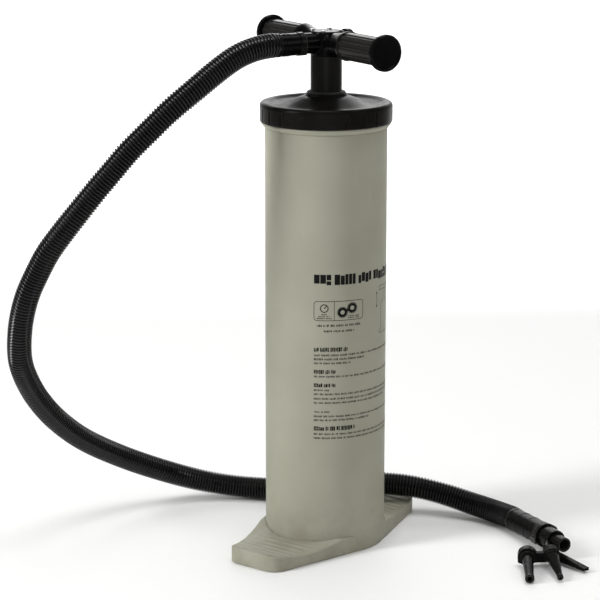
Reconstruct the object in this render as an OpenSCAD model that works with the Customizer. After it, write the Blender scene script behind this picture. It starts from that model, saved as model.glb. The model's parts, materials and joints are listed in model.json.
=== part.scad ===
// Double-action air pump with foot rests, a T handle, a ribbed hose and a set of three nozzles.
// Millimetres. +Z is up, the floor is z = 0 and the barrel's axis is the Z axis.
// The foot rests lie along Y. One module per sub-part; "node" picks what is built.

/* [Build] */
// which sub-part to build

/* [Barrel] */
// outside diameter of the barrel
barrel_od = 124.5; // [120:0.5:126]
// wall thickness of the barrel
barrel_wall = 2.5; // [2:0.1:3]
// height of the barrel's upper edge
barrel_top = 452; // [440:1:460]
// outside diameter of the bead under the cap
bead_od = 131.6; // [129:0.2:133]

/* [Base] */
// length of the base over both foot rests
base_len = 253; // [230:1:280]
// corner radius of a foot rest
toe_r = 16; // [10:1:22]
// half the distance between the corner centres of one foot rest
toe_x = 17.5; // [12:0.5:24]
// lowest height of the dished top
dish_low = 11.5; // [10.5:0.5:13]
// radius of the dish, seen from the side
dish_r = 150; // [120:5:200]

/* [Cap] */
// outside diameter of the screw cap
cap_od = 134.6; // [134:0.2:138]
// height of the cap's lower edge
cap_z = 441.8; // [441.8:0.1:443]
// number of groups of grip notches round the skirt
notch_groups = 4; // [3:1:6]
// notches in one group
notches = 3; // [2:1:4]

/* [Piston and rod] */
// outside diameter of the rod
rod_od = 32; // [28:1:32]
// wall thickness of the rod
rod_wall = 2.5; // [2:0.1:3]
// radial running gap between the piston seal and the barrel
seal_gap = 0.05; // [0.03:0.01:0.1]

/* [Handle] */
// height of the handle's axis at rest
hub_z = 521; // [515:1:530]
// turn of the handle about the barrel's axis, from +X
handle_angle = -22; // [-45:1:45]
// length of one fluted grip
grip_len = 61.5; // [50:0.5:80]
// diameter of a grip
grip_d = 28; // [26:0.5:32]
// diameter of the flange at a grip's end
grip_flange_d = 36; // [32:0.5:40]

/* [Hose and nozzles] */
// diameter of the hose over its ribs
hose_d = 24.8; // [22:0.2:26]
// direction of the hose's far end in plan, from +X
end_angle = -28; // [-40:1:0]
// rise of the far end
end_tilt = 2; // [0:0.5:4]

/* [Hidden] */
$fn = 72;
eps = 0.01;
barrel_r = barrel_od / 2;
bore_r = barrel_r - barrel_wall;
base_floor = 4;               // thickness under the barrel wall
spigot_top = 14;
plug_top = 18;
toe_y = base_len / 2 - toe_r;
dish_y = 85;
cap_r = cap_od / 2;
cap_bore_r = 64.6;
gasket_t = 1.5;
cap_under = barrel_top + gasket_t;
rim_top = cap_z + 19.7;
boss_top = rim_top + 9;
rod_r = rod_od / 2;
rod_foot = 50;                // height of the rod's lower end at rest
rod_top = hub_z - 13;
piston_low = 26;
seal_low = 31;
seal_high = 45;
piston_top = 49;
chamber_r = 12;               // valve chamber in the hub
hub_top = 10;                 // height of the hub's flat top over the handle's axis
arm_x = 41.5;                 // reach of the hub's handle arms
arm_y = 28;                   // reach of the hub's arm on the hose side
grip_x = arm_x + 1.5;
hose_y = 58;                  // distance from the axis at which the hose begins
end_p = [156, 129, 13];       // where the hose ends and the cuff begins
port_dir = [sin(handle_angle), -cos(handle_angle), 0];

black = [0.07, 0.07, 0.075];
soft_black = [0.10, 0.10, 0.10];
shell_grey = [0.62, 0.62, 0.56];
steel = [0.72, 0.72, 0.73];
gum = [0.16, 0.15, 0.14];

// ---------- shared shapes ----------
module ring(ro, ri, h, z = 0) {
    translate([0, 0, z]) difference() {
        cylinder(r = ro, h = h);
        translate([0, 0, -1]) cylinder(r = ri, h = h + 2);
    }
}

// lays a shape built along +Z along +X
module along_x() { rotate([0, 90, 0]) children(); }

// the handle's own frame: X along the grips, -Y towards the hose port
module handle_frame() { translate([0, 0, hub_z]) rotate([0, 0, handle_angle]) children(); }

// the frame of a port: its axis becomes +Z, side = -1 is the hose side
module port_frame(side) { handle_frame() rotate([-90 * side, 0, 0]) children(); }

// the far end's frame: its axis becomes +X
module end_frame() { translate(end_p) rotate([0, 0, end_angle]) rotate([0, -end_tilt, 0]) children(); }

module pan_screw(head_r, head_h, r, len) {
    cylinder(r = r, h = len, $fn = 24);
    translate([0, 0, -head_h]) difference() {
        cylinder(r = head_r, h = head_h, $fn = 24);
        translate([-head_r, -0.4, -1]) cube([2 * head_r, 0.8, 1.8]);
    }
}

// ---------- pump body ----------
module barrel() color(shell_grey) {
    wall = [[bore_r, base_floor], [barrel_r, base_floor], [barrel_r, cap_z - 4],
            [bead_od / 2 - 0.8, cap_z - 3.6], [bead_od / 2, cap_z - 2.8], [bead_od / 2, cap_z - 0.8],
            [bead_od / 2 - 0.6, cap_z - 0.3], [barrel_r, cap_z - 0.3], [barrel_r, barrel_top], [bore_r, barrel_top]];
    rotate_extrude($fn = 120) polygon(wall);
    for (k = [0:1]) ring(barrel_r + 1.8, bore_r + 1, 2, cap_z + 2 + 4 * k);
}

// outline of the base: two tapering foot rests on a round middle
module base_plan(inset = 0) {
    hull() {
        circle(r = barrel_r + 0.25 - inset, $fn = 120);
        for (sx = [-1, 1], sy = [-1, 1]) translate([sx * toe_x, sy * toe_y]) circle(r = toe_r - inset, $fn = 48);
    }
}

module foot_base() color(shell_grey) {
    difference() {
        linear_extrude(17.4) base_plan();
        for (s = [-1, 1]) translate([-90, s * dish_y, dish_low + dish_r]) along_x()
            cylinder(r = dish_r, h = 180, $fn = 180);
        translate([0, 0, base_floor]) ring(barrel_r + 0.1, bore_r - 0.15, 20);
        translate([0, 0, spigot_top]) cylinder(r = bore_r, h = 20);
        // hollow underside of the foot rests
        for (s = [-1, 1]) difference() {
            intersection() {
                translate([0, 0, -1]) linear_extrude(9) base_plan(3);
                translate([-70, s > 0 ? 66 : -166, -2]) cube([140, 100, 20]);
            }
            for (k = [0:3]) translate([-70, s * (72 + 14 * k) - 1, -2]) cube([140, 2, 20]);
            translate([-1, -200, -2]) cube([2, 400, 20]);
        }
        // hollow underside of the middle, with radial ribs
        difference() {
            translate([0, 0, -1]) cylinder(r = 54, h = 10);
            for (k = [0:3]) rotate(45 + 90 * k) translate([0, -1, -2]) cube([60, 2, 20]);
            translate([0, 0, -2]) cylinder(r = 13, h = 20);
        }
        for (k = [0:3]) rotate(90 * k) translate([46, 0, 8]) cylinder(r = 2.1, h = 8, $fn = 24);
    }
    // raised cross ribs on the dished tops
    for (s = [-1, 1], k = [0:4]) {
        y = 73 + 9.5 * k;
        z = dish_low + dish_r - sqrt(dish_r * dish_r - pow(y - dish_y, 2));
        w = 2 * (34 - 0.16 * (y - 73));
        translate([-w / 2, s * y - 1.1, z - 1]) cube([w, 2.2, 1.7]);
    }
}

module bottom_plug() color(shell_grey) difference() {
    ring(bore_r - 0.15, 4, plug_top - spigot_top, spigot_top);
    for (k = [0:3]) rotate(90 * k) translate([46, 0, spigot_top - 1]) cylinder(r = 2.1, h = 4, $fn = 24);
}

module bump_stop() color(gum) rotate_extrude() polygon([[26, plug_top], [41, plug_top], [39.5, plug_top + 5.2],
    [38.5, plug_top + 6], [28.5, plug_top + 6], [27.5, plug_top + 5.2]]);

module base_screws() color(steel) for (k = [0:3]) rotate(90 * k) translate([46, 0, 9]) pan_screw(4, 2.4, 2, 7);

// ---------- screw cap ----------
module cap_gasket() color(gum) ring(barrel_r + 1.2, bore_r - 0.5, gasket_t, barrel_top);

module cap() color(black) {
    shoulder = [for (a = [0:15:90]) [cap_r - 4 + 4 * cos(a), rim_top - 4 + 4 * sin(a)]];
    dish = [[60.5, rim_top], [59, rim_top - 0.5], [57.5, rim_top - 1.7], [54, rim_top - 2.9], [50, rim_top - 3.3],
            [46, rim_top - 2.8], [40, rim_top - 0.9], [33, rim_top + 1.8], [27, rim_top + 4.4],
            [23.5, rim_top + 5.7], [20.75, rim_top + 6.1], [20.75, boss_top - 0.5], [20.25, boss_top]];
    under = [[17.6, boss_top], [17.6, rim_top + 2.5], [21.5, rim_top + 2.5], [30, rim_top - 1.6], [40, rim_top - 4.8],
             [50, cap_under], [cap_bore_r, cap_under], [cap_bore_r, cap_z]];
    difference() {
        rotate_extrude($fn = 120) polygon(concat([[cap_r, cap_z]], shoulder, dish, under));
        for (g = [0:notch_groups - 1], k = [0:notches - 1])
            rotate(360 / notch_groups * g - 20.6 + 14.5 * (k - (notches - 1) / 2))
                translate([cap_r + 0.25, 0, cap_z - 1]) cylinder(r = 1.1, h = 14.5, $fn = 12);
    }
}

module guide_bush() color(soft_black) {
    z = rim_top + 2.5;
    rotate_extrude() polygon([[rod_r + 0.08, 442], [19, 442], [19, z - 3.5], [21.4, z - 3.5], [21.4, z],
        [17.5, z], [17.5, boss_top], [rod_r + 0.08, boss_top]]);
}

module top_bumper() color(gum) ring(19.6, rod_r + 0.6, 5, 437);

module rod_wiper() color(gum) rotate_extrude() polygon([[rod_r + 0.06, boss_top], [19.4, boss_top],
    [19.4, boss_top + 1], [18.2, boss_top + 1.8], [rod_r + 0.06, boss_top + 1.8]]);

// ---------- piston and rod ----------
module rod_tube() color(black) ring(rod_r, rod_r - rod_wall, rod_top - rod_foot, rod_foot);

module inner_tube() color(steel) ring(7, 5.5, hub_z - 9 - 40, 40);

module piston_body() color(soft_black) difference() {
    rotate_extrude() polygon([[0, piston_low], [bore_r - 0.45, piston_low], [bore_r - 0.45, seal_low], [52, seal_low],
        [52, seal_high], [bore_r - 0.45, seal_high], [bore_r - 0.45, piston_top], [rod_r + 6, piston_top],
        [rod_r + 4, 66], [0, 66]]);
    translate([0, 0, rod_foot]) cylinder(r = rod_r + 0.05, h = 30);
    translate([0, 0, 40]) cylinder(r = 7.05, h = 20);
    translate([0, 0, piston_low - 1]) cylinder(r = 13, h = 6);
    translate([0, 0, piston_low]) cylinder(r = 5.5, h = 20);
    for (k = [0:5]) rotate(60 * k) translate([34, 0, piston_low - 1]) cylinder(r = 2.05, h = 14, $fn = 24);
}

module piston_seal() color(gum) ring(bore_r - seal_gap, 52.1, seal_high - seal_low, seal_low, $fn = 120);

module piston_retainer() color(steel) difference() {
    ring(45, 8, 1.5, piston_low - 1.5);
    for (k = [0:5]) rotate(60 * k) translate([34, 0, piston_low - 3]) cylinder(r = 3.8, h = 5, $fn = 24);
}

module piston_screws() color(steel) for (k = [0:5]) rotate(60 * k) translate([34, 0, piston_low])
    pan_screw(3.6, 1.4, 2, 11);

module foot_valve_disc() color(gum) ring(11, 1.2, 1.45, piston_low + 0.05);

// ---------- hub and handle ----------
module hub_body() color(black) difference() {
    union() {
        translate([0, 0, rod_top]) cylinder(r = rod_r + 0.2, h = 13 + hub_top);
        translate([0, 0, rod_top - 10]) cylinder(r = rod_r - rod_wall - 0.05, h = 12);
        handle_frame() {
            // arms that flare out to meet the grips
            along_x() rotate_extrude() polygon([[0, -arm_x], [14.5, -arm_x], [14.5, -39.5], [14.2, -38.5],
                [12.9, -33], [11.8, -27], [11.2, -20], [11.2, 20], [11.8, 27], [12.9, 33], [14.2, 38.5],
                [14.5, 39.5], [14.5, arm_x], [0, arm_x]]);
            // shoulders that blend the arms into the column
            for (s = [-1, 1]) translate([s * 12, 0, -3]) rotate([0, s * 40, 0])
                cylinder(r = 10.5, h = 22, center = true);
        }
        port_frame(-1) cylinder(r = 10.5, h = arm_y);
        port_frame(1) cylinder(r = 10.5, h = 22);
    }
    translate([0, 0, hub_z + hub_top]) cylinder(r = 17.5, h = 20);
    ring(rod_r + 0.06, rod_r - rod_wall - 0.05, 27, rod_top - 27);
    translate([0, 0, hub_z - 24]) cylinder(r = 7.05, h = 24);
    translate([0, 0, hub_z - 8]) cylinder(r = chamber_r, h = 30);
    handle_frame() {
        for (k = [0:3]) rotate(45 + 90 * k) translate([10.0, 0, -24]) cylinder(r = 1.6, h = 20, $fn = 24);
        for (s = [-1, 1]) rotate([0, 90 * s, 0]) translate([0, 0, 17]) cylinder(r = 9.05, h = 40);
        rotate([90, 0, 0]) translate([0, 0, -40]) cylinder(r = 6, h = 80);
        for (s = [-1, 1], t = [-1, 1]) translate([s * 9.9, t * 9.9, 3]) cylinder(r = 1.35, h = 10, $fn = 24);
    }
    port_frame(1) translate([0, 0, 13.4]) cylinder(r = 8.95, h = 20);
}

module hub_cover() color(black) handle_frame() difference() {
    translate([0, 0, hub_top]) {
        cylinder(r1 = rod_r + 0.6, r2 = rod_r + 0.1, h = 1.8);
        intersection() {
            translate([-22, -6.6, 0]) cube([44, 13.2, 1.5]);
            cylinder(r = 17.4, h = 3);
        }
    }
    for (s = [-1, 1], t = [-1, 1]) translate([s * 9.9, t * 9.9, 9]) cylinder(r = 1.35, h = 10, $fn = 24);
}

module hub_screws() color(steel) handle_frame() for (s = [-1, 1], t = [-1, 1])
    translate([s * 9.9, t * 9.9, hub_top + 1.8]) mirror([0, 0, 1]) pan_screw(2.2, 1.3, 1.2, 8);

module valve_seat() color(soft_black) handle_frame() difference() {
    ring(chamber_r - 0.05, 7.1, 2, -8);
    for (k = [0:3]) rotate(45 + 90 * k) translate([9.6, 0, -10]) cylinder(r = 1.4, h = 6, $fn = 24);
}

module hub_valve_disc() color(gum) ring(10.4, 1.2, 1.45, hub_z - 5.95);

module handle_tubes() color(steel) handle_frame() for (s = [-1, 1]) rotate([0, 90 * s, 0]) ring(9, 7.2, 86, 17);

module grip_collars() color(black) handle_frame() for (s = [-1, 1]) rotate([0, 90 * s, 0])
    ring(14.9, 9.1, 1.3, arm_x + 0.1);

// fluted sleeve over a handle tube
module grip(s) color(black) handle_frame() rotate([0, 90 * s, 0]) translate([0, 0, grip_x])
    linear_extrude(grip_len) difference() {
        circle(d = grip_d);
        circle(r = 9.1);
        for (k = [0:11]) rotate(30 * k) translate([grip_d / 2 + 1.5, 0]) circle(r = 2.3, $fn = 32);
    }
module grip_right() grip(1);
module grip_left() grip(-1);

module grip_cap(s) color(black) handle_frame() rotate([0, 90 * s, 0]) translate([0, 0, grip_x + grip_len])
    rotate_extrude() polygon([[0, 0], [grip_flange_d / 2 - 1.6, 0], [grip_flange_d / 2, 1.4], [grip_flange_d / 2, 4.4],
        [grip_flange_d / 2 - 1.4, 5.8], [grip_flange_d / 2 - 2.8, 5.8], [grip_flange_d / 2 - 3.4, 5], [0, 5]]);
module grip_cap_right() grip_cap(1);
module grip_cap_left() grip_cap(-1);

// ---------- ports ----------
module hose_port() color(black) port_frame(-1) ring(8.9, 6, 12.5, arm_y);

// insert with a wide lip and two bayonet lugs
module deflate_port() color(black) port_frame(1) {
    ring(8.9, 7, 13.5, 13.5);
    ring(12.3, 8, 5, 22.05);
    for (s = [-1, 1]) translate([s * 12.6 - 1, -1.5, 23.5]) cube([2, 3, 3]);
}

module connector_ring() color(gum) port_frame(-1) ring(11, 9.0, 1, arm_y);

// cuff with ring marks and a bayonet tab, on the hose's upper end
module hose_connector() color(soft_black) port_frame(-1) {
    rotate_extrude() polygon([[9, arm_y + 1], [11.8, arm_y + 1], [11.8, arm_y + 6.5], [11.2, arm_y + 7.5],
        [11.2, hose_y - 13], [11.6, hose_y - 12.6], [11.6, hose_y - 10.8], [11.2, hose_y - 10.4], [11.2, hose_y - 8.6],
        [11.6, hose_y - 8.2], [11.6, hose_y - 6.4], [11.2, hose_y - 6], [11.2, hose_y - 3], [11.9, hose_y - 2],
        [11.9, hose_y], [7.6, hose_y], [7.6, arm_y + 14], [9, arm_y + 14]]);
    rotate(-35) translate([11.2, -3, arm_y + 1]) cube([2.6, 6, 5.5]);
}

// ---------- hose ----------
// Route of the hose's centre line: out of the connector, down in a wide loop, back behind
// the barrel, over the rear foot rest and along the floor to the cuff.
hose_start = [0, 0, hub_z] + hose_y * port_dir;
route = concat(
    [hose_start, hose_start + 9 * port_dir],
    [[-31.5, -77, 518.8], [-39, -95, 512.5], [-47, -114, 501], [-58, -138, 483], [-71, -160, 464], [-84, -176, 445],
     [-97, -191, 426], [-109, -204, 406], [-121, -215, 387], [-134, -226, 366], [-147, -235, 346],
     [-160, -242, 326], [-172, -246, 304], [-183, -249, 281], [-193, -248, 256], [-202, -243, 230],
     [-211, -233, 205], [-219, -216, 180], [-226, -192, 152], [-231, -160, 122], [-232, -119, 91],
     [-224, -69, 61], [-205, -21, 36], [-178, 15, 20], [-143, 41, 13.1], [-104, 58, 13.4], [-64, 75, 20],
     [-27, 92, 27.2], [6, 106, 29.2], [36, 118, 28], [66, 131.5, 21.8], [95, 138.6, 15.8], [123, 139, 13]],
    [end_p - 9 * [cos(end_angle + 2), sin(end_angle + 2), 0], end_p]);
hose_sides = 12;
hose_rings = 74;

function unit(v) = v / norm(v);
function route_at(i) = route[max(0, min(len(route) - 1, i))];
// smooth curve through the route's points
function curve(u) = let (i = min(floor(u), len(route) - 2), t = u - i,
    a = route_at(i - 1), b = route_at(i), c = route_at(i + 1), d = route_at(i + 2))
    0.5 * (2 * b + (c - a) * t + (2 * a - 5 * b + 4 * c - d) * t * t + (3 * b - a - 3 * c + d) * t * t * t);
hose_line = [for (k = [0:hose_rings - 1]) curve(k * (len(route) - 1) / (hose_rings - 1))];
hose_tangent = [for (k = [0:hose_rings - 1])
    k == 0 ? port_dir
    : k == hose_rings - 1 ? unit([cos(end_angle), sin(end_angle), tan(end_tilt)])
    : unit(hose_line[k + 1] - hose_line[k - 1])];
// side vectors carried along the curve without twist
hose_side = [for (k = 0, n = unit(cross(port_dir, [0, 0, 1])); k < hose_rings; k = k + 1,
    n = k < hose_rings ? unit(n - (n * hose_tangent[k]) * hose_tangent[k]) : n) n];

module hose() color(black) {
    ring_points = [for (k = [0:hose_rings - 1]) let (n = hose_side[k], b = cross(hose_tangent[k], n))
        for (j = [0:hose_sides - 1])
            hose_line[k] + hose_d / 2 * (cos(360 / hose_sides * j) * n + sin(360 / hose_sides * j) * b)];
    last = (hose_rings - 1) * hose_sides;
    walls = [for (k = [0:hose_rings - 2], j = [0:hose_sides - 1]) let (m = (j + 1) % hose_sides)
        [k * hose_sides + j, (k + 1) * hose_sides + j, (k + 1) * hose_sides + m, k * hose_sides + m]];
    polyhedron(ring_points, concat([[for (j = [0:hose_sides - 1]) j]],
        walls, [[for (j = [hose_sides - 1:-1:0]) last + j]]), convexity = 10);
}

// ---------- far end of the hose ----------
module hose_end_cuff() color(soft_black) end_frame() along_x() rotate_extrude() polygon([[7.6, 0], [12.4, 0],
    [12.4, 3], [12, 4], [12, 17], [12.3, 17.5], [12.3, 19.5], [12, 20], [12, 34], [12.3, 34.5], [12.3, 36.5],
    [12, 37], [12, 52], [12.6, 53.5], [12.6, 59], [9.1, 59], [9.1, 44], [7.6, 44]]);

module adapter_ring() color(gum) end_frame() along_x() ring(11, 9, 1, 59);

// spigot inside the cuff, flange with two bayonet lugs, and the open tube
module end_adapter() color(soft_black) end_frame() along_x() {
    difference() {
        union() {
            cylinder_at(8.95, 44.5, 60);
            cylinder_at(12.8, 60, 62.6);
            cylinder_at(7.5, 62.6, 98);
        }
        cylinder_at(5.8, 40, 110);
    }
    for (a = [-70, 110]) rotate(a) translate([12.75, -3, 54]) cube([1.6, 6, 8.6]);
}
module cylinder_at(r, z0, z1) { translate([0, 0, z0]) cylinder(r = r, h = z1 - z0); }

// Sockets of the nozzles in the far end's frame: place, turn in plan, dip, and bore radius.
wide_socket = [100, -45, -5.5];
narrow_socket = [110, -22, -4.8];
flat_socket = [95, -9.5, -10];
wide_dir = [-28, 9];
narrow_dir = [-20, 12];
flat_dir = [13, 5];
sleeve_x = [64, 82];

// the frame of a nozzle: +Z runs from its socket to its tip
module nozzle_frame(p, dir) { end_frame() translate(p) rotate([0, 0, dir[0]]) rotate([0, 90 + dir[1], 0]) children(); }

module nozzle_holder() color(soft_black) difference() {
    union() {
        end_frame() along_x() cylinder_at(10.6, sleeve_x[0], sleeve_x[1]);
        nozzle_frame(wide_socket, wide_dir) cylinder_at(9.8, -8, 0);
        nozzle_frame(narrow_socket, narrow_dir) cylinder_at(8.6, -9, 0);
        nozzle_frame(flat_socket, flat_dir) cylinder_at(5.9, -9, 0);
        // the strap between the sockets
        hull() {
            end_frame() translate([80, -7, -3]) rotate([90, 0, 0]) cylinder(r = 5, h = 3, $fn = 24);
            nozzle_frame(narrow_socket, narrow_dir) translate([0, -6, -8]) cylinder(r = 2.6, h = 6, $fn = 24);
        }
        hull() {
            for (x = [-0.5, 5]) {
                nozzle_frame(narrow_socket, narrow_dir) translate([x, 6.2, -7]) cylinder(r = 2.6, h = 6, $fn = 24);
                nozzle_frame(wide_socket, wide_dir) translate([x, -7.2, -6.5]) cylinder(r = 2.6, h = 6, $fn = 24);
            }
        }
        hull() {
            nozzle_frame(flat_socket, flat_dir) translate([-3, 2, -7]) cylinder(r = 2.6, h = 6, $fn = 24);
            end_frame() translate([79, -6, -5]) sphere(r = 3, $fn = 24);
        }
    }
    end_frame() along_x() cylinder_at(7.6, 50, 120);
    nozzle_frame(wide_socket, wide_dir) cylinder_at(6.05, -20, 6);
    nozzle_frame(narrow_socket, narrow_dir) cylinder_at(6.05, -20, 6);
    nozzle_frame(flat_socket, flat_dir) cylinder_at(4.05, -20, 6);
    // room for the flat nozzle as it is pulled out past its neighbour
    nozzle_frame(flat_socket, flat_dir) cylinder_at(5.8, 0.02, 24);
}

// plug, stop flange and taper of a round nozzle
module cone_nozzle(plug, base_r, tip_r, len) {
    rotate_extrude() polygon([[tip_r - 1.4, -plug], [6, -plug], [6, 0.05], [7.6, 0.05], [7.6, 1.7], [base_r, 2.4],
        [tip_r + 0.1, len - 5], [tip_r + 0.5, len - 4.4], [tip_r + 0.5, len - 0.6], [tip_r, len], [tip_r - 1.4, len]]);
}
module nozzle_wide() color(black) nozzle_frame(wide_socket, wide_dir) cone_nozzle(7, 5.7, 4.2, 47);
module nozzle_narrow() color(black) nozzle_frame(narrow_socket, narrow_dir) cone_nozzle(7.5, 6.6, 2.7, 43);

module nozzle_flat() color(black) nozzle_frame(flat_socket, flat_dir) difference() {
    union() {
        cylinder_at(4, -8, 0.1);
        cylinder_at(5.4, 0.05, 1.6);
        hull() {
            cylinder_at(4.9, 1.5, 3);
            translate([-1.5, -3.6, 40]) cube([3, 7.2, 5]);
        }
    }
    cylinder_at(2.4, -9, 8);
    translate([-0.6, -2.4, 6]) cube([1.2, 4.8, 50]);
}

// ---------- output ----------
barrel();
foot_base();
bottom_plug();
bump_stop();
base_screws();
cap_gasket();
cap();
guide_bush();
top_bumper();
rod_wiper();
rod_tube();
inner_tube();
piston_body();
piston_seal();
piston_retainer();
piston_screws();
foot_valve_disc();
hub_body();
hub_cover();
hub_screws();
valve_seat();
hub_valve_disc();
handle_tubes();
grip_collars();
grip_right();
grip_left();
grip_cap_right();
grip_cap_left();
hose_port();
deflate_port();
connector_ring();
hose_connector();
hose();
hose_end_cuff();
end_adapter();
adapter_ring();
nozzle_holder();
nozzle_wide();
nozzle_narrow();
nozzle_flat();
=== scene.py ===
"""Looks of the double-action air pump: pieces, materials, floor, light and camera."""
import json
import math

import bmesh
import bpy
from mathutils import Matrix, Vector


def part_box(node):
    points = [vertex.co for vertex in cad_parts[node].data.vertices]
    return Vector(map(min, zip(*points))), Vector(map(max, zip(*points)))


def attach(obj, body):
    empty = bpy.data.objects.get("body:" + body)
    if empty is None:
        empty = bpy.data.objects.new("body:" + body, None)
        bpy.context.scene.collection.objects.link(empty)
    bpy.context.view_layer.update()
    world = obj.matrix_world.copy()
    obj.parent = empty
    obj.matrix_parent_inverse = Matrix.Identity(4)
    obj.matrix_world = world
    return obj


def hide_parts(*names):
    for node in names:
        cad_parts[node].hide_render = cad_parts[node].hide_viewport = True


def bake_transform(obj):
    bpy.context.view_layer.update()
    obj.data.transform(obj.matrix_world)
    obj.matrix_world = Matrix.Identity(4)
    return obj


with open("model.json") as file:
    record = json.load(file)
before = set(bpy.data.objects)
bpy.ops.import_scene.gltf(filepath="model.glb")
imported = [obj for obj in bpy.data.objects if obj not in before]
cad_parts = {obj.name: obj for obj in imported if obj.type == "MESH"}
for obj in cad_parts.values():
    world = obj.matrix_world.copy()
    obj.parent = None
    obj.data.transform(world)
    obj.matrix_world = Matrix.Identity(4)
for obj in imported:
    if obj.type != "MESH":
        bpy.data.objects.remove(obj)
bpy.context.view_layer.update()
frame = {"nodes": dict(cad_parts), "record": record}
MM = 0.001


# ---------- places taken from the frame ----------
def centre(node):
    """Middle of a CAD node's box."""
    low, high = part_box(node)
    return (Vector(low) + Vector(high)) / 2


GRIP_DIR = (centre("grip_cap_right") - centre("grip_cap_left")).normalized()
HUB = (centre("grip_cap_right") + centre("grip_cap_left")) / 2
PORT_DIR = Vector((GRIP_DIR.y, -GRIP_DIR.x, 0))      # the way the hose leaves the hub
END = Vector((156, 129, 13)) * MM                    # where the hose ends and the cuff begins
BARREL_R = 62.25                                     # the barrel's outer face, in millimetres


# ---------- camera ----------
def make_camera():
    """The photograph's view: a long lens, a little above the pump, from the front right."""
    azimuth, pitch, distance = math.radians(36.87), math.radians(13.5), 2.228
    aim = Vector((-0.021, -0.016, 0.255))
    data = bpy.data.cameras.new("camera")
    data.lens, data.sensor_width = 129.6, 36
    camera = bpy.data.objects.new("camera", data)
    bpy.context.collection.objects.link(camera)
    level = math.cos(pitch)
    back = Vector((math.sin(azimuth) * level, -math.cos(azimuth) * level, math.sin(pitch)))
    camera.location = aim + distance * back
    camera.rotation_euler = (math.pi / 2 - pitch, 0, azimuth)
    bpy.context.scene.camera = camera


make_camera()


# ---------- node helpers ----------
def new_material(name):
    material = bpy.data.materials.new(name)
    material.use_nodes = True
    tree = material.node_tree
    return material, tree, tree.nodes["Principled BSDF"]


def add(tree, kind, values=None, **settings):
    node = tree.nodes.new(kind)
    for key, value in settings.items():
        setattr(node, key, value)
    for key, value in (values or {}).items():
        node.inputs[key].default_value = value
    return node


def noise(tree, scale, detail=3.0, stretch=None, roughness=0.5):
    """Noise in object space; stretch scales the axes apart."""
    place = add(tree, "ShaderNodeTexCoord")
    source = place.outputs["Object"]
    if stretch:
        mapping = add(tree, "ShaderNodeMapping", {"Scale": stretch})
        tree.links.new(source, mapping.inputs["Vector"])
        source = mapping.outputs["Vector"]
    node = add(tree, "ShaderNodeTexNoise", {"Scale": scale, "Detail": detail, "Roughness": roughness})
    tree.links.new(source, node.inputs["Vector"])
    return node.outputs["Fac"]


def ramp(tree, source, low, high, out_low=0.0, out_high=1.0):
    """Smooth step of a value from low..high to out_low..out_high."""
    node = add(tree, "ShaderNodeMapRange",
               {"From Min": low, "From Max": high, "To Min": out_low, "To Max": out_high})
    node.interpolation_type = "SMOOTHSTEP"
    tree.links.new(source, node.inputs["Value"])
    return node.outputs["Result"]


def mix(tree, factor, a, b):
    """Mixes two colours; a and b are colours or sockets."""
    node = add(tree, "ShaderNodeMix", data_type="RGBA")
    tree.links.new(factor, node.inputs[0])
    for socket, value in ((node.inputs[6], a), (node.inputs[7], b)):
        if isinstance(value, bpy.types.NodeSocket):
            tree.links.new(value, socket)
        else:
            socket.default_value = (*value, 1)
    return node.outputs[2]


def math_node(tree, operation, a, b):
    """Joins two values by a sum, product or the like; a and b are numbers or sockets."""
    node = add(tree, "ShaderNodeMath", operation=operation)
    for socket, value in zip(node.inputs, (a, b)):
        if isinstance(value, bpy.types.NodeSocket):
            tree.links.new(value, socket)
        else:
            socket.default_value = value
    return node.outputs[0]


def bump(tree, bsdf, layers):
    """Stacks bump layers of (height socket, distance in metres, strength)."""
    normal = None
    for height, distance, strength in layers:
        node = add(tree, "ShaderNodeBump", {"Strength": strength, "Distance": distance})
        tree.links.new(height, node.inputs["Height"])
        if normal:
            tree.links.new(normal, node.inputs["Normal"])
        normal = node.outputs["Normal"]
    tree.links.new(normal, bsdf.inputs["Normal"])


def edges(tree, low, high):
    """0 on flats, 1 on sharp outer edges."""
    return ramp(tree, add(tree, "ShaderNodeNewGeometry").outputs["Pointiness"], low, high)


# ---------- materials ----------
def shell_plastic():
    """Grey-green moulded shell: faint mottling, fine grain, light scuffs and dust low down."""
    material, tree, bsdf = new_material("shell_plastic")
    mottle = ramp(tree, noise(tree, 14, 5), 0.3, 0.7)
    colour = mix(tree, mottle, (0.338, 0.335, 0.266), (0.370, 0.366, 0.296))
    scuff = ramp(tree, noise(tree, 60, 6, stretch=(1.0, 1.0, 0.16), roughness=0.72), 0.62, 0.80)
    colour = mix(tree, math_node(tree, "MULTIPLY", scuff, 0.28), colour, (0.47, 0.46, 0.40))
    place = add(tree, "ShaderNodeSeparateXYZ")
    tree.links.new(add(tree, "ShaderNodeTexCoord").outputs["Object"], place.inputs[0])
    low_down = ramp(tree, place.outputs["Z"], 0.09, 0.0)
    dust = math_node(tree, "MULTIPLY", low_down, ramp(tree, noise(tree, 45, 5), 0.35, 0.75))
    colour = mix(tree, math_node(tree, "MULTIPLY", dust, 0.45), colour, (0.235, 0.205, 0.150))
    colour = mix(tree, math_node(tree, "MULTIPLY", edges(tree, 0.53, 0.62), 0.5), colour, (0.52, 0.50, 0.43))
    tree.links.new(colour, bsdf.inputs["Base Color"])
    rough = math_node(tree, "ADD", ramp(tree, noise(tree, 30, 4), 0.3, 0.7, 0.42, 0.52),
                      math_node(tree, "MULTIPLY", scuff, 0.14))
    tree.links.new(rough, bsdf.inputs["Roughness"])
    bsdf.inputs["Specular IOR Level"].default_value = 0.07
    bump(tree, bsdf, [(noise(tree, 9, 2), 0.0008, 0.25), (noise(tree, 1500, 2), 0.00004, 0.5),
                      (scuff, 0.00006, 0.4)])
    return material


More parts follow.
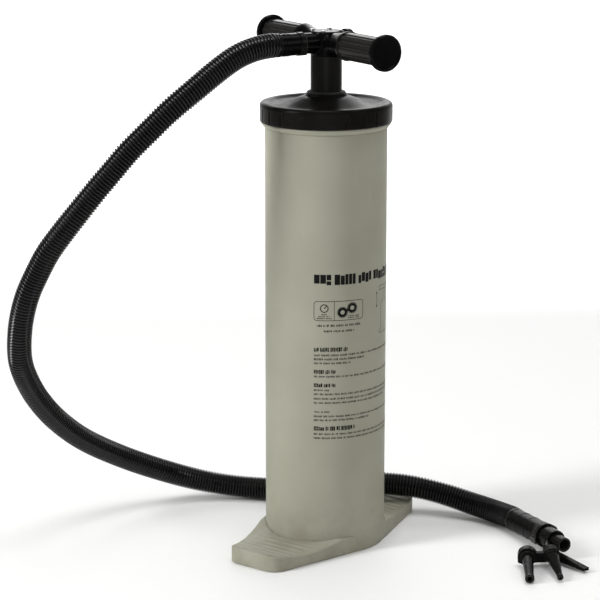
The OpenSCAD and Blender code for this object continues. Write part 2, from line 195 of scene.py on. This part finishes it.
def black_plastic(name, base, rough, wear, warm=0.0, shine=0.055):
    """Black moulded plastic with fine grain, hairline scratches and greyish wear on its edges.
    base is its darkness, rough its range of roughness, wear how rubbed it is, warm its lean to brown."""
    material, tree, bsdf = new_material(name)
    tint = (base * (1 + warm), base * (1 + 0.6 * warm), base)
    light = tuple(1.5 * c for c in tint)
    colour = mix(tree, ramp(tree, noise(tree, 35, 5), 0.35, 0.7), tint, light)
    rubbed = ramp(tree, noise(tree, 80, 6, roughness=0.7), 0.50, 0.78)
    colour = mix(tree, math_node(tree, "MULTIPLY", rubbed, 0.22 * wear), colour, (0.060, 0.054, 0.044))
    worn = math_node(tree, "MULTIPLY", edges(tree, 0.53, 0.66), wear)
    colour = mix(tree, worn, colour, (0.12, 0.115, 0.105))
    tree.links.new(colour, bsdf.inputs["Base Color"])
    scratch = ramp(tree, noise(tree, 240, 3, stretch=(1.0, 0.12, 1.0)), 0.64, 0.74)
    rough_all = math_node(tree, "ADD", ramp(tree, noise(tree, 55, 5), 0.3, 0.7, *rough),
                          math_node(tree, "MULTIPLY", scratch, 0.10))
    tree.links.new(rough_all, bsdf.inputs["Roughness"])
    bsdf.inputs["Specular IOR Level"].default_value = shine
    bump(tree, bsdf, [(noise(tree, 1300, 2), 0.00004, 0.3), (scratch, 0.00003, 0.4)])
    return material


def hose_plastic():
    """Glossy black ribbed hose, a little dull and dusty between the ribs."""
    material, tree, bsdf = new_material("hose_plastic")
    cloud = ramp(tree, noise(tree, 50, 4), 0.3, 0.75)
    colour = mix(tree, cloud, (0.003, 0.003, 0.0033), (0.0065, 0.0065, 0.0065))
    hollows = edges(tree, 0.50, 0.40)
    colour = mix(tree, math_node(tree, "MULTIPLY", hollows, 0.25), colour, (0.040, 0.037, 0.032))
    tree.links.new(colour, bsdf.inputs["Base Color"])
    tree.links.new(ramp(tree, noise(tree, 70, 5), 0.3, 0.7, 0.10, 0.18), bsdf.inputs["Roughness"])
    bsdf.inputs["Specular IOR Level"].default_value = 0.26
    bump(tree, bsdf, [(noise(tree, 420, 3), 0.00008, 0.25)])
    return material


def print_ink():
    """Black screen print, thin in places."""
    material, tree, bsdf = new_material("print_ink")
    fade = ramp(tree, noise(tree, 900, 4, roughness=0.7), 0.55, 0.80)
    colour = mix(tree, math_node(tree, "MULTIPLY", fade, 0.3), (0.006, 0.006, 0.006), (0.10, 0.097, 0.082))
    tree.links.new(colour, bsdf.inputs["Base Color"])
    tree.links.new(ramp(tree, noise(tree, 300, 3), 0.3, 0.7, 0.42, 0.60), bsdf.inputs["Roughness"])
    bsdf.inputs["Specular IOR Level"].default_value = 0.08
    bump(tree, bsdf, [(noise(tree, 1600, 2), 0.00002, 0.4)])
    return material


def seal_rubber():
    """Matte dark rubber with a fine cloudy bloom."""
    material, tree, bsdf = new_material("seal_rubber")
    bloom = ramp(tree, noise(tree, 120, 6, roughness=0.7), 0.45, 0.8)
    colour = mix(tree, bloom, (0.020, 0.019, 0.018), (0.052, 0.050, 0.046))
    tree.links.new(colour, bsdf.inputs["Base Color"])
    tree.links.new(ramp(tree, noise(tree, 200, 4), 0.3, 0.7, 0.62, 0.82), bsdf.inputs["Roughness"])
    bump(tree, bsdf, [(noise(tree, 900, 3), 0.00008, 0.5)])
    return material


def brushed_steel():
    """Zinc-bright steel with fine drawn lines."""
    material, tree, bsdf = new_material("brushed_steel")
    lines = noise(tree, 900, 3, stretch=(1.0, 1.0, 0.05))
    colour = mix(tree, ramp(tree, lines, 0.3, 0.7), (0.50, 0.50, 0.51), (0.66, 0.66, 0.66))
    tree.links.new(colour, bsdf.inputs["Base Color"])
    bsdf.inputs["Metallic"].default_value = 1.0
    tree.links.new(ramp(tree, lines, 0.3, 0.7, 0.24, 0.40), bsdf.inputs["Roughness"])
    bump(tree, bsdf, [(lines, 0.00003, 0.4)])
    return material


def floor_paint():
    """Even pale floor."""
    material, tree, bsdf = new_material("floor_paint")
    colour = mix(tree, ramp(tree, noise(tree, 0.6, 2), 0.2, 0.8), (0.945, 0.945, 0.94), (0.96, 0.96, 0.955))
    tree.links.new(colour, bsdf.inputs["Base Color"])
    bsdf.inputs["Roughness"].default_value = 0.9
    bsdf.inputs["Specular IOR Level"].default_value = 0.1
    return material


SHELL = shell_plastic()
BLACK = black_plastic("black_plastic", base=0.0018, rough=(0.13, 0.21), wear=0.10, shine=0.05)
CAP_BLACK = black_plastic("cap_plastic", base=0.0038, rough=(0.28, 0.40), wear=0.45, warm=0.25)
CUFF_BLACK = black_plastic("cuff_plastic", base=0.0034, rough=(0.20, 0.32), wear=0.3, warm=0.1, shine=0.06)
HOSE = hose_plastic()
INK = print_ink()
RUBBER = seal_rubber()
STEEL = brushed_steel()


# ---------- mesh helpers ----------
def mesh_piece(name, vertices, faces, material, body, replaces=(), slot=None, smooth_angle=35):
    """A mesh in the row frame, which rides on a body and may stand for CAD nodes."""
    mesh = bpy.data.meshes.new(name)
    mesh.from_pydata([tuple(v) for v in vertices], [], faces)
    mesh.validate()
    bm = bmesh.new()
    bm.from_mesh(mesh)
    bmesh.ops.recalc_face_normals(bm, faces=bm.faces)
    bm.to_mesh(mesh)
    bm.free()
    piece = bpy.data.objects.new(name, mesh)
    bpy.context.collection.objects.link(piece)
    mesh.materials.clear()
    mesh.materials.append(material)
    mesh.shade_smooth()
    mesh.set_sharp_from_angle(angle=math.radians(smooth_angle))
    if body:
        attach(piece, body)
    if replaces:
        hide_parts(*replaces)
    return piece


def lathe(name, profile, material, body, segments, shape=None, **more):
    """Closed ring of profile points (radius, height) in millimetres, turned about the barrel's axis;
    shape(angle, radius, height) in metres may change a point's radius."""
    points = [(r * MM, h * MM) for r, h in profile]
    vertices, faces, count = [], [], len(points)
    for s in range(segments):
        angle = 2 * math.pi * s / segments
        for radius, height in points:
            r = shape(angle, radius, height) if shape else radius
            vertices.append((r * math.cos(angle), r * math.sin(angle), height))
    for s in range(segments):
        t = (s + 1) % segments
        for k in range(count):
            m = (k + 1) % count
            faces.append((s * count + k, t * count + k, t * count + m, s * count + m))
    return mesh_piece(name, vertices, faces, material, body, **more)


def rounded(profile, radius, steps=3):
    """Rounds the convex and concave corners of a closed profile, where its sides are long enough."""
    result, count = [], len(profile)
    for k in range(count):
        a, b, c = (Vector(profile[(k + d) % count]) for d in (-1, 0, 1))
        reach = min(radius, 0.45 * (a - b).length, 0.45 * (c - b).length)
        if reach < 1e-6:
            result.append(tuple(b))
            continue
        start, end = b + (a - b).normalized() * reach, b + (c - b).normalized() * reach
        for i in range(steps + 1):
            t = i / steps
            result.append(tuple((1 - t) ** 2 * start + 2 * t * (1 - t) * b + t * t * end))
    return result


# ---------- the hose ----------
HOSE_START = Vector((0, 0, HUB.z)) + 58 * MM * PORT_DIR
ROUTE = [HOSE_START, HOSE_START + 9 * MM * PORT_DIR] + [Vector(p) * MM for p in (
    (-31.5, -77, 518.8), (-39, -95, 512.5), (-47, -114, 501), (-58, -138, 483), (-71, -160, 464),
    (-84, -176, 445), (-97, -191, 426), (-109, -204, 406), (-121, -215, 387), (-134, -226, 366),
    (-147, -235, 346), (-160, -242, 326), (-172, -246, 304), (-183, -249, 281), (-193, -248, 256),
    (-202, -243, 230), (-211, -233, 205), (-219, -216, 180), (-226, -192, 152), (-231, -160, 122),
    (-232, -119, 91), (-224, -69, 61), (-205, -21, 36), (-178, 15, 20), (-143, 41, 13.1), (-104, 58, 13.4),
    (-64, 75, 20), (-27, 92, 27.2), (6, 106, 29.2), (36, 118, 28), (66, 131.5, 21.8), (95, 138.6, 15.8),
    (123, 139, 13))] \
    + [END - 9 * MM * Vector((math.cos(math.radians(26)), -math.sin(math.radians(26)), 0)), END]
LEAST_HEIGHT = 12.6 * MM                         # of the hose's middle, which keeps its ribs on the floor
RIB_PITCH, RIB_STEPS = 3.35 * MM, 6
RIB = (10.8, 11.1, 12.1, 12.4, 12.35, 11.5)      # radii over one rib, in millimetres
PLAIN_END, PLAIN_R = 4 * MM, 11.9 * MM           # at each end the ribs stay low enough for the sockets


def catmull_rom(points, steps=24):
    """Fine points on a smooth curve through the given ones."""
    ends = [2 * points[0] - points[1]] + list(points) + [2 * points[-1] - points[-2]]
    line = []
    for k in range(1, len(ends) - 2):
        a, b, c, d = ends[k - 1:k + 3]
        for i in range(steps):
            t = i / steps
            line.append(0.5 * (2 * b + (c - a) * t + (2 * a - 5 * b + 4 * c - d) * t ** 2
                               + (3 * b - a - 3 * c + d) * t ** 3))
    return line + [points[-1]]


def even_points(line, spacing):
    """Points at even distances along a line of points."""
    lengths = [0.0]
    for a, b in zip(line, line[1:]):
        lengths.append(lengths[-1] + (b - a).length)
    count = max(2, round(lengths[-1] / spacing))
    result, k = [], 0
    for i in range(count + 1):
        goal = lengths[-1] * i / count
        while k < len(line) - 2 and lengths[k + 1] < goal:
            k += 1
        t = (goal - lengths[k]) / max(1e-9, lengths[k + 1] - lengths[k])
        result.append(line[k].lerp(line[k + 1], t))
    return result, lengths[-1]


def tube_geometry(centres, radii, sides=24):
    """A closed tube through the centres; its frames turn with the line and don't twist about it."""
    vertices, faces = [], []
    tangent = (centres[1] - centres[0]).normalized()
    side = tangent.cross(Vector((0, 0, 1))).normalized()
    last = len(centres) - 1
    for k, (point, radius) in enumerate(zip(centres, radii)):
        tangent = (centres[min(k + 1, last)] - centres[max(k - 1, 0)]).normalized()
        side = (side - side.dot(tangent) * tangent).normalized()
        up = side.cross(tangent)
        for s in range(sides):
            angle = 2 * math.pi * s / sides
            vertices.append(point + radius * (math.cos(angle) * side + math.sin(angle) * up))
    for k in range(last):
        for s in range(sides):
            t = (s + 1) % sides
            faces.append((k * sides + s, k * sides + t, (k + 1) * sides + t, (k + 1) * sides + s))
    faces.append(tuple(range(sides)))
    faces.append(tuple(last * sides + s for s in range(sides)))
    return vertices, faces


def make_hose():
    """The ribbed hose: a tube whose radius swells and shrinks along its route."""
    centres, length = even_points(catmull_rom(ROUTE), RIB_PITCH / RIB_STEPS)
    for point in centres:
        point.z = max(point.z, LEAST_HEIGHT)
    radii = []
    for k in range(len(centres)):
        radius = RIB[k % RIB_STEPS] * MM
        from_end = min(k, len(centres) - 1 - k) * RIB_PITCH / RIB_STEPS
        radii.append(min(radius, PLAIN_R) if from_end < PLAIN_END else radius)
    vertices, faces = tube_geometry(centres, radii)
    hose = mesh_piece("ribbed_hose", vertices, faces, HOSE, None, replaces=("hose",), slot="hose_black",
                      smooth_angle=70)
    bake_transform(hose)


make_hose()


# ---------- looks of the CAD nodes ----------
LOOKS = {"shell": SHELL, "black_shell": BLACK, "hose_black": HOSE, "cuff_black": CUFF_BLACK,
         "seal_rubber": RUBBER, "bright_steel": STEEL}
for part in frame["record"]["subparts"]:
    node = frame["nodes"][part["node"]]
    node.data.materials.clear()
    node.data.materials.append(LOOKS[part["material_slot"]])
    node.data.shade_smooth()
    node.data.set_sharp_from_angle(angle=math.radians(30))
frame["nodes"]["cap"].data.materials[0] = CAP_BLACK
frame["nodes"]["hose_connector"].data.materials[0] = BLACK


def melt(node, voxel, passes):
    """Gives a CAD node a moulded look: its corners and joins are rounded off."""
    item = frame["nodes"][node]
    remesh = item.modifiers.new("melt", "REMESH")
    remesh.mode, remesh.voxel_size, remesh.use_smooth_shade = "VOXEL", voxel * MM, True
    smooth = item.modifiers.new("even", "SMOOTH")
    smooth.factor, smooth.iterations = 0.5, passes


melt("foot_base", 0.9, 4)
melt("hub_body", 0.55, 7)
melt("nozzle_holder", 0.4, 5)


def soften(node, width, segments=3, angle=35):
    """Rounds a CAD node's sharp edges."""
    bevel = frame["nodes"][node].modifiers.new("soften", "BEVEL")
    bevel.width, bevel.segments, bevel.limit_method = width * MM, segments, "ANGLE"
    bevel.angle_limit, bevel.harden_normals, bevel.use_clamp_overlap = math.radians(angle), True, True


for name in ("grip_cap_right", "grip_cap_left"):
    soften(name, 0.4)
for name in ("end_adapter", "hub_cover", "deflate_port", "nozzle_flat", "hose_connector"):
    soften(name, 0.25, 2)


# ---------- barrel and cap ----------
def refine(profile, step):
    """Splits a closed profile's long sides, which keeps shading even along them."""
    result = []
    for k, (r0, h0) in enumerate(profile):
        r1, h1 = profile[(k + 1) % len(profile)]
        count = max(1, round(math.hypot(r1 - r0, h1 - h0) / step))
        result += [(r0 + (r1 - r0) * i / count, h0 + (h1 - h0) * i / count) for i in range(count)]
    return result


def make_barrel():
    """The barrel with its stepped collar under the cap and two thread rings within it."""
    inner, thread = 59.75, 64.05
    foot = [(inner, 4), (61, 0.4), (62.55, 0.4), (62.55, 17), (BARREL_R, 19.5)]
    collar = [(BARREL_R, 435.3), (61.85, 435.5), (61.85, 436), (63.3, 436.2), (63.6, 437.6), (65.1, 438.8),
              (65.7, 439.6), (65.7, 441), (65.2, 441.5), (BARREL_R, 441.5)]
    threads = [(r, z) for low in (443.8, 447.8)
               for r, z in ((BARREL_R, low), (thread, low), (thread, low + 2), (BARREL_R, low + 2))]
    outline = foot + collar + threads + [(BARREL_R, 452), (inner, 452)]
    lathe("barrel_shell", refine(rounded(outline, 0.35), 25), SHELL, "pump_body", segments=160,
          replaces=("barrel",), slot="shell", smooth_angle=40)


make_barrel()
NOTCH_ANGLES = [math.radians(-20.6 + 90 * g + 14.5 * k) for g in range(4) for k in (-1, 0, 1)]
NOTCH_TOP, NOTCH_DEPTH, NOTCH_HALF_ANGLE = 456.5, 0.95, 1.05     # millimetres and degrees


def cap_shape(angle, radius, height):
    """Cuts the grip notches into the cap's side."""
    z = height / MM
    if radius < 66 * MM or z > NOTCH_TOP:
        return radius
    gap = min(abs((angle - a + math.pi) % (2 * math.pi) - math.pi) for a in NOTCH_ANGLES)
    depth = max(0.0, 1 - (math.degrees(gap) / NOTCH_HALF_ANGLE) ** 2) * min(1.0, (NOTCH_TOP - z) / 0.8)
    return radius - NOTCH_DEPTH * MM * depth


def make_cap():
    """Screw cap: rolled rim, shallow dished top that rises to the collar round the rod, notched side."""
    cap_z, rim, boss = 441.8, 461.5, 470.5
    shoulder = [(63.3 + 4 * math.cos(math.radians(a)), rim - 4 + 4 * math.sin(math.radians(a)))
                for a in range(0, 91, 9)]
    top = [(61.6, rim - 0.1), (60.4, rim - 0.35), (59.2, rim - 0.9), (57.8, rim - 1.7), (56, rim - 2.4),
           (53.5, rim - 3.0), (50, rim - 3.3), (46, rim - 2.8), (43, rim - 1.9), (40, rim - 0.9),
           (36.5, rim + 0.5), (33, rim + 1.8), (29.5, rim + 3.3), (26.4, rim + 4.6), (23.6, rim + 5.6),
           (21.9, rim + 6.0)]
    collar = [(21.1, rim + 6.35), (20.75, rim + 7), (20.75, boss - 1.1), (20.55, boss - 0.5),
              (20.1, boss - 0.1), (19.4, boss)]
    inside = [(17.6, boss), (17.6, rim + 2.5), (21.5, rim + 2.5), (30, rim - 1.6), (40, rim - 4.8),
              (50, 453.5), (64.6, 453.5), (64.6, cap_z)]
    side = [(66.8, cap_z), (67.15, cap_z + 0.15), (67.3, cap_z + 0.6)] + \
           [(67.3, z) for z in (445, 449, 453, 455.4, 455.8, 456.2, 456.6, 457)]
    lathe("screw_cap_shell", side + shoulder[1:] + top + collar + inside, CAP_BLACK, "screw_cap",
          segments=720, shape=cap_shape, replaces=("cap",), slot="black_shell", smooth_angle=50)


make_cap()


# ---------- print on the barrel ----------
PRINT_R = BARREL_R * MM + 0.05 * MM
PRINT_LEFT = math.radians(-64.6)         # where each line of print begins, round the barrel


def on_barrel(a, z):
    """Point on the barrel's face at a mm to the right of the print's left edge, z mm up."""
    angle = PRINT_LEFT + a * MM / PRINT_R
    return Vector((PRINT_R * math.cos(angle), PRINT_R * math.sin(angle), z * MM))


class Print:
    """Collects flat strips of ink laid round the barrel."""

    def __init__(self):
        self.vertices, self.faces = [], []

    def strip(self, p, q, width):
        """A straight stroke between two (a, z) places."""
        (a0, z0), (a1, z1) = p, q
        length = math.hypot(a1 - a0, z1 - z0)
        na, nz = -(z1 - z0) / length * width / 2, (a1 - a0) / length * width / 2
        count = max(1, math.ceil(abs(a1 - a0) / 2))
        start = len(self.vertices)
        for i in range(count + 1):
            t = i / count
            a, z = a0 + (a1 - a0) * t, z0 + (z1 - z0) * t
            self.vertices += [on_barrel(a + na, z + nz), on_barrel(a - na, z - nz)]
        for i in range(count):
            k = start + 2 * i
            self.faces.append((k, k + 1, k + 3, k + 2))

    def bar(self, a0, a1, z0, z1):
        self.strip((a0, (z0 + z1) / 2), (a1, (z0 + z1) / 2), z1 - z0)

    def path(self, points, width, closed=False):
        points = list(points)
        for p, q in zip(points, points[1:] + (points[:1] if closed else [])):
            if p != q:
                self.strip(p, q, width)

    def ring(self, a, z, radius, width, count=20):
        turns = [2 * math.pi * i / count for i in range(count)]
        self.path([(a + radius * math.cos(t), z + radius * math.sin(t)) for t in turns], width, closed=True)


def greeked(ink, left, right, low, high, block, gap, seed):
    """A line of stand-in print: short blocks grouped in word lengths, with no letter among them."""
    state, a, left_in_word = seed, left, 3 + seed % 5
    while a + block * 0.6 < right:
        state = (state * 73 + 41) % 1009
        width = block * (0.65, 0.9, 1.1, 0.8)[state % 4]
        top = high - (high - low) * (0.0, 0.0, 0.12, 0.0, 0.22)[state % 5]
        bottom = low + (high - low) * (0.0, 0.14, 0.0)[state % 3]
        if state % 4 == 1 and high - low > 3:
            middle = low + (high - low) * (0.42, 0.55, 0.5)[state % 3]
            cut = 0.045 * (high - low)
            ink.bar(a, a + width, bottom, middle - cut)
            ink.bar(a, a + width, middle + cut, top)
        else:
            ink.bar(a, a + width, bottom, top)
        a += width + gap
        left_in_word -= 1
        if left_in_word == 0:
            a += 1.6 * gap + 0.35 * block
            left_in_word = 2 + state % 6


def make_print():
    ink = Print()
    greeked(ink, 0, 122, 285.1, 295.7, 5.2, 0.6, 5)                      # heading
    corner = [(0 + 3 * (1 - math.cos(t)), 0 + 3 * (1 - math.sin(t))) for t in (0, 0.5, 1.05, math.pi / 2)]
    low, high, right = 248.4, 268.2, 52
    frame_line = [(a, low + z) for a, z in corner] + [(right - a, low + z) for a, z in reversed(corner)] \
        + [(right - a, high - z) for a, z in corner] + [(a, high - z) for a, z in reversed(corner)]
    ink.path(frame_line, 0.6, closed=True)
    ink.strip((20.5, low), (20.5, high), 0.5)
    ink.ring(10.4, 261, 3.9, 1.0)                                           # a dial
    ink.strip((10.4, 261), (12.6, 263.4), 0.9)
    for k, z in enumerate((254.6, 252.6, 250.6)):
        greeked(ink, (7.5, 4.5, 3)[k], (13.5, 16.5, 18)[k], z - 0.6, z + 0.6, 0.9, 0.35, 7 + k)
    ink.ring(29.0, 256.6, 4.0, 3.4)                                         # two linked rings
    ink.ring(39.5, 260.6, 4.0, 3.4)
    ink.strip((31.5, 257.6), (37, 259.6), 2.4)
    for z in (252.4, 250.6):
        greeked(ink, 35, 47, z - 0.55, z + 0.55, 0.9, 0.35, 3)
    lines = (  # height of the middle, tall, width, indent, bold
        (243.2, 2.9, 46, 3, 0), (237.4, 2.5, 32, 10, 0),
        (218.2, 4.4, 36, 0, 1), (212.4, 2.5, 122, 0, 0), (208.2, 2.6, 55, 0, 0), (204.0, 2.5, 38, 0, 0),
        (195.0, 4.3, 23, 0, 1), (190.1, 2.4, 118, 0, 0),
        (181.0, 4.0, 22, 0, 1), (175.8, 2.2, 16, 0, 0), (171.6, 2.4, 116, 0, 0), (166.8, 2.4, 118, 0, 0),
        (162.4, 2.3, 88, 0, 0), (152.9, 2.1, 17, 0.5, 0), (148.3, 2.3, 120, 0, 0), (144.2, 2.5, 60, 0, 0),
        (135.4, 4.5, 44, 0, 1), (129.5, 2.3, 120, 0, 0), (125.2, 2.3, 120, 0, 0))
    for k, (z, tall, width, indent, bold) in enumerate(lines):
        block, gap, share = (1.55, 0.38, 1) if bold else (0.95, 0.5, 0.86)
        low, high = z - tall / 2 * share, z + tall / 2 * share
        greeked(ink, indent, indent + width, low, high, block, gap, 11 + 7 * k)
    # outline of a pump, with arrows for its stroke
    ink.path([(82, 232), (82, 259.5), (88.5, 261.5), (88.5, 273)], 0.5)
    ink.path([(100, 232), (100, 259.5), (93.5, 261.5), (93.5, 273)], 0.5)
    ink.path([(78, 273), (104, 273), (104, 277), (78, 277)], 0.5, closed=True)
    ink.path([(82, 232), (78, 230.6), (78, 228), (104, 228), (104, 230.6), (100, 232)], 0.5)
    ink.path([(93.5, 275), (99, 277.6), (112, 274), (116, 258), (113, 240)], 0.5)
    a, bottom, top = 73, 256, 272
    ink.strip((a, bottom), (a, top), 0.5)
    for z, inward in ((bottom, 1), (top, -1)):
        ink.path([(a - 0.9, z + 2.2 * inward), (a, z), (a + 0.9, z + 2.2 * inward)], 0.6)
    mesh_piece("barrel_print", ink.vertices, ink.faces, INK, "pump_body")


make_print()


# ---------- floor and light ----------
def make_stage():
    """A floor that curves up into a backdrop, well away from the pump."""
    profile = [(-6.0, 0.0)]
    for i in range(13):
        t = i / 12 * math.pi / 2
        profile.append((3.2 + 1.5 * math.sin(t), 1.5 * (1 - math.cos(t))))
    profile.append((4.7, 5.0))
    forward, right = Vector((-0.6, 0.8, 0)), Vector((0.8, 0.6, 0))
    vertices, faces = [], []
    for away, up in profile:
        for s in (-6.5, 6.5):
            vertices.append(forward * away + right * s + Vector((0, 0, up - 0.0002)))
    for k in range(len(profile) - 1):
        faces.append((2 * k, 2 * k + 1, 2 * k + 3, 2 * k + 2))
    floor = mesh_piece("floor", vertices, faces, floor_paint(), None, smooth_angle=60)


make_stage()


def area_light(name, place, aim, width, height, power):
    """A white rectangular light; sizes in metres, power in watts."""
    data = bpy.data.lights.new(name, "AREA")
    data.shape, data.size, data.size_y, data.energy = "RECTANGLE", width, height, power
    light = bpy.data.objects.new(name, data)
    bpy.context.collection.objects.link(light)
    light.location = place
    light.rotation_euler = (Vector(aim) - Vector(place)).to_track_quat("-Z", "Y").to_euler()


area_light("key_left", (-1.3, -2.2, 1.5), (0, 0, 0.25), 0.6, 1.6, 56)
area_light("fill_right", (2.4, 0.5, 1.2), (0, 0, 0.25), 0.4, 1.8, 6)
area_light("low_front", (1.3, -1.9, 0.30), (0, 0, 0.02), 1.4, 0.4, 2.5)
area_light("top", (0.2, 0.3, 2.6), (0, 0, 0.2), 1.6, 1.6, 26)
area_light("back", (-1.6, 2.2, 1.8), (0, 0.6, 0.3), 1.6, 1.2, 16)
area_light("backdrop", (-0.9, 1.3, 1.9), (-2.7, 3.7, 0.9), 3.0, 0.8, 110)

world = bpy.data.worlds.new("world")
bpy.context.scene.world = world
world.use_nodes = True
world.node_tree.nodes["Background"].inputs["Color"].default_value = (1, 1, 1, 1)
world.node_tree.nodes["Background"].inputs["Strength"].default_value = 0.25
bpy.context.scene.view_settings.view_transform = "Standard"
